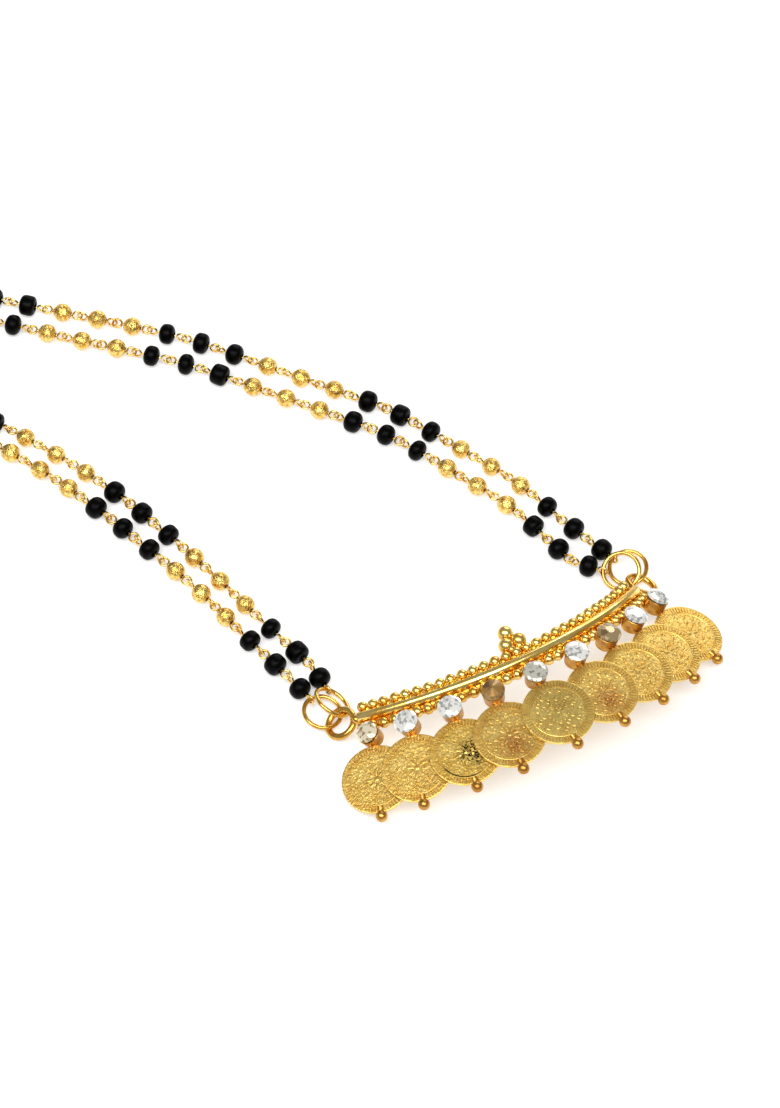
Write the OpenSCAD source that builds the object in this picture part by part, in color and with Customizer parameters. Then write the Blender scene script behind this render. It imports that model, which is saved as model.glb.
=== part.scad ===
// Coin necklace: an arched bar with nine coins, worn on two strands of black and gold beads a side.
// It lies on a table at z = 0, with the coins towards -Y and the neck opening towards +Y.

/* [Bar] */
// Radius of the bar's own curve, measured at the middle of its ridge
bar_radius = 34.8; // [34:0.1:36]
// Lean of the plane in which the bar is curved, in degrees
bar_lean = 45; // [43:0.5:47]
// Half of the angle that the bar covers, in degrees
bar_half_angle = 43.5; // [43:0.1:44]
// Height of the bar's back above the table at the top of its arch
bar_height = 9.95; // [9.95:0.05:10.5]
// Radius of the polished ridge
ridge_r = 1.1; // [1:0.05:1.15]
// Radius of the soldered granules
granule_r = 0.8; // [0.75:0.01:0.82]
// Number of granules in the row on the neck side
neck_granules = 29; // [28:1:29]
// Number of granules in the row on the coin side
coin_granules = 31; // [30:1:31]
// Radius of the three balls of the trefoil
trefoil_r = 1.2; // [1.1:0.05:1.25]

/* [Rings] */
// Mean radius of the thick ring at each end of the bar
end_ring_radius = 2.35; // [2.3:0.05:2.4]
// Thickness of its wire
end_ring_wire = 0.84; // [0.8:0.02:0.86]
// Mean radius of the thin rings that carry the strands
jump_radius = 2.95; // [2.94:0.01:2.96]
// Thickness of their wire
jump_wire = 0.54; // [0.5:0.02:0.56]

/* [Coins and stones] */
// Diameter of a coin
coin_d = 11; // [10.8:0.1:11.2]
// Thickness of a coin
coin_thick = 0.42; // [0.38:0.02:0.44]
// Distance from a stone to the middle of its coin
coin_reach = 7; // [6.9:0.1:7.1]
// Distance from a coin's middle to the middle of its drop
drop_reach = 6; // [5.9:0.1:6.1]
// Radius of the drop's ball
drop_r = 0.88; // [0.8:0.02:0.95]
// Outer radius of a stone's collet
collet_r = 1.72; // [1.65:0.01:1.75]
// Radius of a stone at its girdle
stone_r = 1.88; // [1.8:0.02:1.92]

/* [Strands] */
// Number of beads in a strand
strand_beads = 27; // [27:1:27]
// Number of beads in the outer left strand, which takes the longer way round the back
outer_left_beads = 29; // [29:1:29]
// Diameter of a gold bead
gold_bead_d = 2.98; // [2.9:0.02:3]
// Diameter of the largest black bead
black_bead_d = 3.5; // [3.3:0.05:3.52]
// Half of the length of the longest black bead
black_half_length = 1.42; // [1.3:0.02:1.44]
// Height of the strands' wire above the table
strand_height = 1.78; // [1.78:0.01:1.85]
// Thickness of the eye pins' wire
pin_wire = 0.38; // [0.34:0.01:0.38]
// Mean radius of an eye pin's loop
loop_radius = 0.74; // [0.72:0.01:0.76]
// Gap left between two linked wires
link_gap = 0.24; // [0.22:0.01:0.26]

/* [Clasp] */
// Mean radius of the ring that the hook takes
clasp_ring_radius = 3; // [2.95:0.01:3.05]
// Thickness of the hook and its ring
clasp_wire = 0.7; // [0.6:0.02:0.72]
// Mean radius of the hook's own bend
hook_radius = 1.6; // [1.5:0.05:1.6]

/* [Hidden] */
$fn = 48;

// One row for each coin, from the left: place along the bar, swing about the collet, height of its face
COINS = [
    [-39.9, 3, 0.55],
    [-30.6, 0, 0.55],
    [-20.4, 0.5, 0.6],
    [-10.4, -3, 0.75],
    [0, -1, 1.15],
    [10.9, -2.5, 0.75],
    [20.6, -2, 0.6],
    [30.4, -3, 0.55],
    [41.2, -9, 0.55],
];
AT = 0;
SWING = 1;
FACE = 2;

// Slope of a coin against its neighbour, and the droop of its outer edge, in degrees
coin_flatten = 3;
coin_droop = 4.7;
// Distance of the stones from the ridge, and heights in the bar's own section
stone_out = 4;
collet_foot = 0.1;
collet_top = 2.3;
girdle_z = 2.78;
strip_thick = 0.6;
strip_neck = 2.2;
strip_out = 2.7;
ridge_z = 0.45;
granule_z = 0.35;
granule_out = 1.75;
end_ring_out = 3.45;
trefoil_at = 0.5;

// The routes of the four strands over the table, from the thin ring to the clasp
INNER_LEFT = [
    [-25.4, 14.4], [-24.9, 17.5], [-27.9, 30.0], [-30.4, 41.5], [-33.5, 53.6], [-37.2, 65.3],
    [-42.1, 76.4], [-48, 87], [-57, 98.5], [-67.5, 109], [-81.1, 122.1], [-84.8, 127.2],
    [-87.2, 133], [-87.5, 139.2], [-84.9, 144.8], [-79.6, 148.1], [-73.3, 149]
];
OUTER_LEFT = [
    [-28.5, 14.1], [-28.9, 17.2], [-31.6, 28.9], [-34.0, 40.6], [-37.4, 52.4], [-41.0, 63.6],
    [-45.6, 74.9], [-51.5, 85.5], [-60.5, 96.5], [-71, 106.5], [-81.5, 117], [-89.2, 127.5],
    [-92.4, 138.2], [-89.7, 147.7], [-81.7, 152.6], [-73.4, 152.1]
];
OUTER_RIGHT = [
    [25.4, 14.5], [24.8, 17.6], [22.6, 23.0], [19.8, 34.4], [14.6, 46.0], [9.2, 57.2], [2.3, 66.5],
    [-5.1, 76.4], [-12.4, 85.8], [-20.8, 94.2], [-29.7, 102.5], [-38.5, 111.2], [-46.5, 120.7],
    [-53.5, 130], [-59.6, 138.6], [-64.1, 142.9]
];
INNER_RIGHT = [
    [22.9, 13.3], [20.6, 15.2], [18.9, 19.3], [16.6, 30.4], [12.0, 41.2], [6.8, 52.3], [-0.1, 61.9],
    [-7.3, 71.4], [-14.5, 80.8], [-22.6, 89.0], [-31, 97.2], [-40, 106.5], [-49.2, 116],
    [-57.5, 126.5], [-64.1, 135.7], [-66.5, 141.2]
];

// One row for each thin ring: its middle above the table, and the heading and slope of its lean
INNER_LEFT_RING = [[-26.03, 12.09, 2.28], 1, 38];
OUTER_LEFT_RING = [[-28.0, 11.65, 1.58], -27, 10];
OUTER_RIGHT_RING = [[26.4, 12.35, 1.66], -144, 12];
INNER_RIGHT_RING = [[24.86, 11.93, 2.34], -151, 27.5];
PLACE = 0;
HEADING = 1;
SLOPE = 2;

// The hook's eye, and the direction and distance from it to the clasp ring
eye_place = [-66.5, 143.8];
hook_heading = 125;
hook_to_ring = 8.3;

// Middle of the whole outline, which becomes the origin
centre_x = -30.6;
centre_y = 68.1;

gold = "#d9a63a";
copper_gold = "#c98a3a";
black_glass = "#0b0b0d";
clear_glass = "#e8ecf0";

// Moves the drawing so that the middle of the outline is the origin
module laid() {
    translate([-centre_x, -centre_y, 0]) children();
}

// Puts a child, drawn in the bar's own section, at an angle along the bar
module along_bar(angle) {
    laid()
    translate([0, bar_radius * cos(bar_lean), bar_height - bar_radius * sin(bar_lean)])
    rotate([-bar_lean, 0, 0])
    rotate([0, 0, angle])
    translate([0, -bar_radius, 0])
    rotate([bar_lean, 0, 0])
    children();
}

// Sweeps a flat section along the bar; its x runs out to the coins and its y runs up
module swept_along_bar(half_angle) {
    laid()
    translate([0, bar_radius * cos(bar_lean), bar_height - bar_radius * sin(bar_lean)])
    rotate([-bar_lean, 0, 0])
    rotate([0, 0, -90 - half_angle])
    rotate_extrude(angle = 2 * half_angle)
    translate([bar_radius, 0])
    rotate(-bar_lean)
    children();
}

module wire_ring(radius, wire) {
    rotate_extrude() translate([radius, 0]) circle(d = wire);
}

module ridge_and_strip() {
    swept_along_bar(bar_half_angle)
    translate([0, ridge_z])
    circle(r = ridge_r);
    swept_along_bar(bar_half_angle + 0.4)
    translate([-strip_neck, -strip_thick / 2])
    square([strip_neck + strip_out, strip_thick]);
}

// A row of granules soldered on one side of the ridge
module granule_row(count, out) {
    step = 2 * (bar_half_angle - 0.8) / (count - 1);
    for (k = [0 : count - 1])
        along_bar(-bar_half_angle + 0.8 + k * step)
        translate([0, -out, granule_z])
        rotate([25, 0, 40])
        sphere(r = granule_r);
}

// Three balls standing on the neck side of the bar
module trefoil() {
    foot = granule_out + granule_r + trefoil_r - 0.35;
    along_bar(trefoil_at) {
        for (side = [-1, 1])
            translate([side * (trefoil_r - 0.12), foot, 0.5]) rotate([25, 0, 40]) sphere(r = trefoil_r);
        translate([0, foot + 1.9, 0.5]) rotate([25, 0, 40]) sphere(r = trefoil_r);
        translate([0, foot - 0.95, 0.2]) rotate([20, 30, 10]) sphere(r = 0.95);
    }
}

module end_rings() {
    for (side = [-1, 1])
        along_bar(side * bar_half_angle) {
            translate([side * end_ring_out, 0, 0.15])
            wire_ring(end_ring_radius, end_ring_wire);
            translate([side * 0.8, 0, 0.1]) sphere(r = 0.64);
        }
}

// A cup under one stone, open at the top
module collet() {
    translate([0, -stone_out, collet_foot])
    difference() {
        cylinder(r1 = collet_r - 0.12, r2 = collet_r, h = collet_top - collet_foot);
        translate([0, 0, 0.5]) cylinder(r = collet_r - 0.27, h = collet_top);
    }
}

// Puts a child, drawn flat about a coin's middle, where that coin hangs
module coin_place(row, number) {
    translate([0, -stone_out, 0])
    rotate([0, 0, row[SWING]])
    translate([0, -coin_reach, row[FACE]])
    rotate([coin_droop, 0, 0])
    rotate([0, -coin_flatten * (number - 4), 0])
    children();
}

// A struck disc with a raised rim and a raised middle
module coin() {
    r = coin_d / 2;
    rotate_extrude()
    polygon([
        [0, -coin_thick], [r - 0.06, -coin_thick], [r, -coin_thick + 0.06], [r, -0.04], [r - 0.06, 0],
        [r - 1.15, 0], [r - 1.25, -0.09], [r - 2.0, -0.09], [r - 2.1, -0.02], [r - 2.35, -0.02],
        [r - 2.45, -0.09], [0, -0.09]
    ]);
}

// Eight petals raised in the middle of a coin
module rosette() {
    translate([0, 0, -0.12]) cylinder(r = 0.55, h = 0.16);
    for (k = [0 : 7])
        rotate([0, 0, 45 * k]) translate([1.35, 0, -0.12]) cylinder(r = 0.42, h = 0.13);
}

// The small ball at a coin's outer edge, on its neck
module drop() {
    translate([0, -drop_reach, -coin_thick / 2]) sphere(r = drop_r);
    translate([0, -drop_reach + 1.4, -coin_thick / 2])
    rotate([90, 0, 0])
    cylinder(r1 = 0.62, r2 = 0.5, h = 1);
}

// The solder between a collet and its coin
module solder(row) {
    translate([0, -stone_out, 0])
    rotate([0, 0, row[SWING]])
    translate([0, -collet_r + 0.1, row[FACE] - 0.15])
    sphere(r = 0.62);
}

module pendant() {
    color(gold) {
        ridge_and_strip();
        granule_row(neck_granules, -granule_out);
        granule_row(coin_granules, granule_out);
        trefoil();
        end_rings();
        for (i = [0 : 8])
            along_bar(COINS[i][AT]) {
                collet();
                solder(COINS[i]);
                coin_place(COINS[i], i) {
                    coin();
                    rosette();
                    drop();
                }
            }
    }
}

// A round stone: a table, eight crown facets, a girdle and eight pavilion facets
module stone(i) {
    table_r = 0.58 * stone_r;
    color(clear_glass)
    along_bar(COINS[i][AT])
    translate([0, -stone_out, girdle_z])
    hull() {
        translate([0, 0, 0.5]) rotate([0, 0, 22.5]) cylinder(r = table_r, h = 0.05, $fn = 8);
        translate([0, 0, -0.08]) cylinder(r = stone_r, h = 0.16, $fn = 16);
        translate([0, 0, -1.35]) cylinder(r = 0.3, h = 0.05, $fn = 8);
    }
}

// Working out a route: a smooth curve through its points
function curve_point(a, b, c, d, t) =
    0.5 * (2 * b + (c - a) * t + (2 * a - 5 * b + 4 * c - d) * t * t
        + (3 * b - a - 3 * c + d) * t * t * t);
function at_or_past(points, k) =
    k < 0 ? 2 * points[0] - points[1]
    : k >= len(points) ? 2 * points[len(points) - 1] - points[len(points) - 2]
    : points[k];
fine_steps = 24;
function fine_route(points) = [
    for (k = [0 : len(points) - 2], s = [0 : fine_steps - 1])
        curve_point(at_or_past(points, k - 1), points[k], points[k + 1], at_or_past(points, k + 2),
            s / fine_steps),
    points[len(points) - 1]
];
function lengths(route, k = 0, sum = 0, out = []) =
    k >= len(route) ? out
    : let (here = k == 0 ? 0 : sum + norm(route[k] - route[k - 1]))
        lengths(route, k + 1, here, concat(out, [here]));
function place_of(marks, length, low, high) =
    high - low <= 1 ? low
    : let (middle = floor((low + high) / 2))
        marks[middle] > length ? place_of(marks, length, low, middle)
        : place_of(marks, length, middle, high);
function route_point(route, marks, length) =
    let (k = place_of(marks, length, 0, len(marks) - 1),
        share = (length - marks[k]) / (marks[k + 1] - marks[k]))
    route[k] + share * (route[k + 1] - route[k]);

// The points where one eye pin's loop meets the next
function joints_of(points, beads) =
    let (route = fine_route(points), marks = lengths(route),
        step = marks[len(marks) - 1] / beads)
    [for (k = [0 : beads]) route_point(route, marks, min(k * step, marks[len(marks) - 1] - 0.0001))];

function is_black(k) = floor(k / 3) % 2 == 0;
// Linked loops lie this far apart
loop_apart = 2 * loop_radius - pin_wire - link_gap;
// Loops lie flat and stand up by turns, none quite true
function loop_turn(k) = (k % 2 == 0 ? 90 : 0) + 10 * sin(137 * k + 30);

// Puts a child, drawn about the middle of pin k along X, on its strand
module on_strand(joints, k) {
    from = joints[k];
    to = joints[k + 1];
    middle = (from + to) / 2;
    laid()
    translate([middle[0], middle[1], strand_height])
    rotate([0, 0, atan2(to[1] - from[1], to[0] - from[0])])
    children();
}

// One wire with a loop at each end; its length follows the strand
module eye_pin(length, turn) {
    eye = length / 2 - loop_apart / 2;
    rotate([turn, 0, 0]) {
        for (side = [-1, 1])
            translate([side * eye, 0, 0]) wire_ring(loop_radius, pin_wire);
        translate([-(eye - loop_radius), 0, 0])
        rotate([0, 90, 0])
        cylinder(d = pin_wire - 0.04, h = 2 * (eye - loop_radius), $fn = 24);
    }
}

module pins(points, beads = strand_beads) {
    joints = joints_of(points, beads);
    color(gold)
    for (k = [0 : beads - 1])
        on_strand(joints, k)
        eye_pin(norm(joints[k + 1] - joints[k]), loop_turn(k));
}

bead_bore = 0.6;

module gold_beads(points, beads = strand_beads) {
    joints = joints_of(points, beads);
    color(gold)
    for (k = [0 : beads - 1])
        if (!is_black(k))
            on_strand(joints, k)
            rotate([0, 90, 0])
            difference() {
                sphere(d = gold_bead_d);
                cylinder(d = bead_bore, h = 4, center = true, $fn = 24);
            }
}

// Glass barrels that differ a little in girth and length
module black_beads(points, beads = strand_beads) {
    joints = joints_of(points, beads);
    color(black_glass)
    for (k = [0 : beads - 1])
        if (is_black(k)) {
            r = black_bead_d / 2 * (0.96 + 0.04 * sin(151 * k));
            h = black_half_length * (0.92 + 0.08 * sin(97 * k + 50));
            on_strand(joints, k)
            rotate([0, 90, 0])
            rotate_extrude()
            polygon([
                [bead_bore / 2, -h], [0.7 * r, -h], [0.92 * r, -0.8 * h], [r, -0.4 * h],
                [r, 0.4 * h], [0.92 * r, 0.8 * h], [0.7 * r, h], [bead_bore / 2, h]
            ]);
        }
}

// A thin ring at a place above the table, leaning by a slope towards a heading
module jump_ring(row) {
    color(gold)
    laid()
    translate(row[PLACE])
    rotate([0, 0, row[HEADING]])
    rotate([0, row[SLOPE], 0])
    wire_ring(jump_radius, jump_wire);
}

// The ring that holds the two left strands and takes the hook
module clasp_ring() {
    color(gold)
    laid()
    translate([eye_place[0] + hook_to_ring * cos(hook_heading),
        eye_place[1] + hook_to_ring * sin(hook_heading), strand_height])
    wire_ring(clasp_ring_radius, clasp_wire);
}

// An eye for the two right strands, and a bend that stands up through the clasp ring
module clasp_hook() {
    color(gold)
    laid()
    translate([eye_place[0], eye_place[1], strand_height])
    rotate([0, 0, hook_heading]) {
        wire_ring(clasp_ring_radius, clasp_wire);
        translate([clasp_ring_radius + hook_radius, 0, 0.2])
        rotate([90, 0, 0])
        rotate([0, 0, 100])
        rotate_extrude(angle = 325)
        translate([hook_radius, 0])
        circle(d = clasp_wire);
    }
}

pendant();
stone(0);  // stone_1
stone(1);  // stone_2
stone(2);  // stone_3
stone(3);  // stone_4
stone(4);  // stone_5
stone(5);  // stone_6
stone(6);  // stone_7
stone(7);  // stone_8
stone(8);  // stone_9
jump_ring(INNER_LEFT_RING);  // left_inner_ring
jump_ring(OUTER_LEFT_RING);  // left_outer_ring
jump_ring(OUTER_RIGHT_RING);  // right_outer_ring
jump_ring(INNER_RIGHT_RING);  // right_inner_ring
pins(INNER_LEFT);  // left_inner_pins
pins(OUTER_LEFT, outer_left_beads);  // left_outer_pins
pins(OUTER_RIGHT);  // right_outer_pins
pins(INNER_RIGHT);  // right_inner_pins
gold_beads(INNER_LEFT);  // left_inner_gold_beads
gold_beads(OUTER_LEFT, outer_left_beads);  // left_outer_gold_beads
gold_beads(OUTER_RIGHT);  // right_outer_gold_beads
gold_beads(INNER_RIGHT);  // right_inner_gold_beads
black_beads(INNER_LEFT);  // left_inner_black_beads
black_beads(OUTER_LEFT, outer_left_beads);  // left_outer_black_beads
black_beads(OUTER_RIGHT);  // right_outer_black_beads
black_beads(INNER_RIGHT);  // right_inner_black_beads
clasp_ring();
clasp_hook();
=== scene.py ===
# %% [markdown]
# # A coin necklace with an arched bar, stones and strands of black and gold beads
#
# The necklace lies on a white table. Its front is a soldered bar with nine small coins, and two strands
# on each side run back to a clasp. The solids of the real sizes come packed as a frame. This script
# gives each visible surface its own shape and finish on top of that frame, and then places the camera
# and the light. Sizes are worked in millimetres and turned to metres at the end of each piece.

import math
import random

import bmesh
import bpy
from mathutils import Matrix, Vector


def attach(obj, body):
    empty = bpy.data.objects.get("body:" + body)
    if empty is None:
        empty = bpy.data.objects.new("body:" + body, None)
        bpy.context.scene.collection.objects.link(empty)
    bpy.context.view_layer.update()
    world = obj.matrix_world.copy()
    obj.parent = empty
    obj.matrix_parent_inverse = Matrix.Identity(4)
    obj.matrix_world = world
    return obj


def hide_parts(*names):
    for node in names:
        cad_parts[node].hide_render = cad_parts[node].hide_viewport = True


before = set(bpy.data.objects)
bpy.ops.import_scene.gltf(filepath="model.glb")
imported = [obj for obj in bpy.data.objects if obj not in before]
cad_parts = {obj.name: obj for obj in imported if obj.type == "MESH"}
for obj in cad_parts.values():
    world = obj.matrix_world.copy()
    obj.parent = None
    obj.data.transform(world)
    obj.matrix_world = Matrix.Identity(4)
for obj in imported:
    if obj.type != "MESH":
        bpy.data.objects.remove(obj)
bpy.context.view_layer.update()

# %% [markdown]
# ## Camera
#
# The necklace was photographed from a little to the left of its front, about 54 degrees above the
# table, with a long lens, so that near and far beads differ little in size. An orthographic camera would
# lose that slight narrowing. A perspective camera 663 mm away keeps it, and its aim is a point in the
# air behind the bar, because the pendant sits low in the picture. The focal length was found in pixels,
# on a picture 1108 pixels high, and the sensor's 36 mm lie along that height.

# %% Place the camera
VIEW_ELEVATION = math.radians(54)
VIEW_TURN = math.radians(29)
VIEW_DISTANCE = 0.66325
SENSOR_MM = 36
FOCAL_PIXELS = 4400
PICTURE_HEIGHT_PIXELS = 1108
aim = Vector((0.0196, -0.0469, 0.0196))
towards_camera = Vector((
    -math.cos(VIEW_ELEVATION) * math.sin(VIEW_TURN),
    -math.cos(VIEW_ELEVATION) * math.cos(VIEW_TURN),
    math.sin(VIEW_ELEVATION),
))
camera_data = bpy.data.cameras.new("long_lens")
camera_data.sensor_width = SENSOR_MM
camera_data.lens = SENSOR_MM * FOCAL_PIXELS / PICTURE_HEIGHT_PIXELS
camera_data.clip_start = 0.05
camera_data.clip_end = 5
camera = bpy.data.objects.new("camera", camera_data)
camera.rotation_mode = "QUATERNION"
camera.location = aim + VIEW_DISTANCE * towards_camera
camera.rotation_quaternion = towards_camera.to_track_quat("Z", "Y")
bpy.context.scene.collection.objects.link(camera)
bpy.context.scene.camera = camera
print("camera at", [round(1000 * v) for v in camera.location], "mm, lens", round(camera_data.lens), "mm")

# %% [markdown]
# ## Colours and a helper for materials
#
# Colours are easiest to pick as screen colours, such as #d9a441, but the renderer adds and multiplies
# light, which only works on linear values. One function turns the first kind into the second. Another
# adds one node to a material with its settings and its links, so that each recipe below reads from top
# to bottom. Every pattern is placed in millimetres, so a scale of 1 / 0.5 gives features 0.5 mm wide.


# %% Colours and nodes
def linear(hex_colour):
    """A screen colour such as #d9a441 as linear red, green, blue and alpha."""
    values = [int(hex_colour[i:i + 2], 16) / 255 for i in (1, 3, 5)]
    return [v / 12.92 if v <= 0.04045 else ((v + 0.055) / 1.055) ** 2.4 for v in values] + [1.0]


def add(tree, kind, sockets=None, **settings):
    """One new node: plain values are set on its sockets and other nodes' outputs are linked to them."""
    made = tree.nodes.new(kind)
    for name, value in settings.items():
        setattr(made, name, value)
    for name, value in (sockets or {}).items():
        if isinstance(value, bpy.types.NodeSocket):
            tree.links.new(value, made.inputs[name])
        else:
            made.inputs[name].default_value = value
    return made


def new_finish(name):
    """An empty material, its node tree and its surface shader."""
    material = bpy.data.materials.new(name)
    material.use_nodes = True
    return material, material.node_tree, material.node_tree.nodes["Principled BSDF"]


print("linear gold:", [round(v, 3) for v in linear("#d9a441")[:3]])

# %% [markdown]
# ## Gold-plated brass
#
# The bar, the granules, the collets and the rings are brass with a thin gold plating. A metal has no
# colour under its gloss: all of its colour is in the reflection, so metallic is 1 and the base colour is
# the tint of what it mirrors. The plating isn't a clean mirror. Its skin has a fine orange-peel, which a
# bump gives, and thin places where the copper below warms the tone. That patchy warmth is a slow noise
# between two golds. The real orange-peel is too fine to show at this distance, and is drawn 0.25 to
# 0.6 mm wide here.


# %% Make the plated finishes
def plated(name, light, warm, roughness, grain_mm, grain_depth_mm, patch_mm=2.5):
    """Gold plating that drifts between a light and a warm tone, over a skin of the given grain."""
    material, tree, shader = new_finish(name)
    place = add(tree, "ShaderNodeTexCoord")
    millimetres = add(tree, "ShaderNodeMapping", {
        "Vector": place.outputs["Object"], "Scale": (1000,) * 3,
    })
    patches = add(tree, "ShaderNodeTexNoise", {
        "Vector": millimetres.outputs[0], "Scale": 1 / patch_mm, "Detail": 3.0, "Roughness": 0.6,
    })
    tone = add(tree, "ShaderNodeValToRGB", {"Fac": patches.outputs[0]})
    tone.color_ramp.elements[0].position = 0.38
    tone.color_ramp.elements[0].color = linear(warm)
    tone.color_ramp.elements[1].position = 0.62
    tone.color_ramp.elements[1].color = linear(light)
    skin = add(tree, "ShaderNodeTexNoise", {
        "Vector": millimetres.outputs[0], "Scale": 1 / grain_mm, "Detail": 4.0, "Roughness": 0.65,
    })
    bump = add(tree, "ShaderNodeBump", {
        "Height": skin.outputs[0], "Strength": 1.0, "Distance": grain_depth_mm / 1000,
    })
    dull = add(tree, "ShaderNodeMapRange", {
        "Value": patches.outputs[0], "From Min": 0.3, "From Max": 0.7,
        "To Min": roughness + 0.06, "To Max": roughness - 0.04,
    })
    shader.inputs["Metallic"].default_value = 1.0
    tree.links.new(tone.outputs[0], shader.inputs["Base Color"])
    tree.links.new(dull.outputs[0], shader.inputs["Roughness"])
    tree.links.new(bump.outputs[0], shader.inputs["Normal"])
    return material


buffed_gold = plated("gold_plated_buffed_ridge", "#fde596", "#f0c465", 0.2, 0.5, 0.014)
granule_gold = plated("gold_plated_granules", "#f8dc86", "#e6b454", 0.24, 0.6, 0.02)
# Painted shade: the collets and the drops take this darker copy of the plating.
painted_shade_gold = plated("gold_plated_painted_shade", "#d3a352", "#b27a34", 0.3, 0.25, 0.03, 1.5)
# Painted reflection: the solder's orange stands for the glow the gold around it throws into the joint.
painted_reflection_solder_gold = plated("solder_orange_painted_reflection", "#dd9a44", "#c06e28", 0.28, 0.4, 0.05, 1.2)
wire_gold = plated("gold_plated_round_wire", "#f6da8c", "#deb058", 0.16, 0.5, 0.01, 3.0)
ring_gold = plated("gold_plated_ring_wire", "#ecc468", "#cc9842", 0.18, 0.5, 0.015, 2.0)
print("plated finishes:", [m.name for m in bpy.data.materials if m.name.startswith("gold")])

# %% [markdown]
# ## Brushed hollow beads
#
# The gold beads are stamped from thin sheet and tumbled with a wire brush. Up close they show shallow
# dents and fine scratches in all directions, so they look satin and sparkle a little. One noise gives
# the dents, a finer one the scratches, and the middles of scattered Voronoi cells are small pits, whose
# shade is painted dark brown into the colour. Real brush marks are finer than a tenth of a millimetre,
# and are drawn a quarter of a millimetre wide here so that they show. In and around the hole the colour
# is painted dark too, as painted shade: that place is told apart by a number written on the mesh as an
# attribute, 1 at the hole.

# %% Make the brushed finish
DENT_MM = 0.9
DENTS_TO_SCRATCHES = 2.2
SCRATCH_MM = 0.24
PITS_APART_MM = 1.0
PATCH_MM = 0.55
brushed_gold, tree, shader = new_finish("brushed_gold_bead")
place = add(tree, "ShaderNodeTexCoord")
millimetres = add(tree, "ShaderNodeMapping", {"Vector": place.outputs["Object"], "Scale": (1000,) * 3})
dents = add(tree, "ShaderNodeTexNoise", {
    "Vector": millimetres.outputs[0], "Scale": 1 / DENT_MM, "Detail": 2.0, "Roughness": 0.5,
})
scratches = add(tree, "ShaderNodeTexNoise", {
    "Vector": millimetres.outputs[0], "Scale": 1 / SCRATCH_MM, "Detail": 2.0, "Roughness": 0.6,
})
height = add(tree, "ShaderNodeMath", {
    0: dents.outputs[0], 1: DENTS_TO_SCRATCHES, 2: scratches.outputs[0],
}, operation="MULTIPLY_ADD")
bump = add(tree, "ShaderNodeBump", {"Height": height.outputs[0], "Strength": 1.0, "Distance": 0.00011})
pits = add(tree, "ShaderNodeTexVoronoi", {
    "Vector": millimetres.outputs[0], "Scale": 1 / PITS_APART_MM,
}, feature="F1")
# Painted shade in the pits: the colour goes dark brown at the middle of each Voronoi cell.
in_pit = add(tree, "ShaderNodeMapRange", {
    "Value": pits.outputs["Distance"], "From Min": 0.07, "From Max": 0.15, "To Min": 0.95, "To Max": 0.0,
})
# Painted shade in and around each bead's hole, read from the near_hole attribute.
near_hole = add(tree, "ShaderNodeAttribute", attribute_name="near_hole")
painted_shade_amount = add(tree, "ShaderNodeMath", {
    0: near_hole.outputs["Fac"], 1: in_pit.outputs[0],
}, operation="MAXIMUM")
patches = add(tree, "ShaderNodeTexNoise", {
    "Vector": millimetres.outputs[0], "Scale": 1 / PATCH_MM, "Detail": 4.0,
})
tone = add(tree, "ShaderNodeValToRGB", {"Fac": patches.outputs[0]})
tone.color_ramp.elements[0].position = 0.38
tone.color_ramp.elements[0].color = linear("#d69f42")
tone.color_ramp.elements[1].position = 0.58
tone.color_ramp.elements[1].color = linear("#fddf84")
tone_with_painted_shade = add(tree, "ShaderNodeMix", {
    "Factor": painted_shade_amount.outputs[0], 6: tone.outputs[0], 7: linear("#6a3d14"),
}, data_type="RGBA")
tree.links.new(tone_with_painted_shade.outputs[2], shader.inputs["Base Color"])
tree.links.new(bump.outputs[0], shader.inputs["Normal"])
shader.inputs["Metallic"].default_value = 1.0
shader.inputs["Roughness"].default_value = 0.2
print("brushed finish:", brushed_gold.name)

# %% [markdown]
# ## Black glass beads
#
# The black beads are chopped from drawn glass tube and tumbled until the edges melt round. That leaves
# the surface satin, a little uneven and smoother in some places than in others. Glass has an index of
# refraction near 1.5, and this glass lets no light through, so its colour is almost black. The specular
# level is held far down, because the beads in the light tent hardly mirror it.

# %% Make the black glass finish
UNEVEN_MM = 0.45
black_glass, tree, shader = new_finish("tumbled_black_glass")
place = add(tree, "ShaderNodeTexCoord")
millimetres = add(tree, "ShaderNodeMapping", {"Vector": place.outputs["Object"], "Scale": (1000,) * 3})
uneven = add(tree, "ShaderNodeTexNoise", {
    "Vector": millimetres.outputs[0], "Scale": 1 / UNEVEN_MM, "Detail": 4.0, "Roughness": 0.6,
})
bump = add(tree, "ShaderNodeBump", {"Height": uneven.outputs[0], "Strength": 1.0, "Distance": 0.00006})
satin = add(tree, "ShaderNodeMapRange", {
    "Value": uneven.outputs[0], "From Min": 0.3, "From Max": 0.7, "To Min": 0.26, "To Max": 0.4,
})
shader.inputs["Base Color"].default_value = linear("#010101")
shader.inputs["IOR"].default_value = 1.5
shader.inputs["Specular IOR Level"].default_value = 0.06
tree.links.new(satin.outputs[0], shader.inputs["Roughness"])
tree.links.new(bump.outputs[0], shader.inputs["Normal"])
print("black finish:", black_glass.name)

# %% [markdown]
# ## Struck coins
#
# Each coin is stamped from thin sheet: a border of short milled ticks and a low worn relief, dulled to a
# matt gold. The ticks and the large forms are modelled. The fine wear is a bump on the coin's own flat
# coordinates, which its UV map holds, so that it follows the coin wherever it hangs. The map's middle is
# the coin's middle, and the map is 12 mm wide. Some coins are stained: a stain is a round patch on that
# map, broken up by noise, with its own colour. The blackened coin has thin curly strokes instead, as
# where dirt and old lacquer stay in the hollows, and a dark arc along the step round its field.


# %% Make the coin finishes
COIN_MAP_MM = 12


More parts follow.
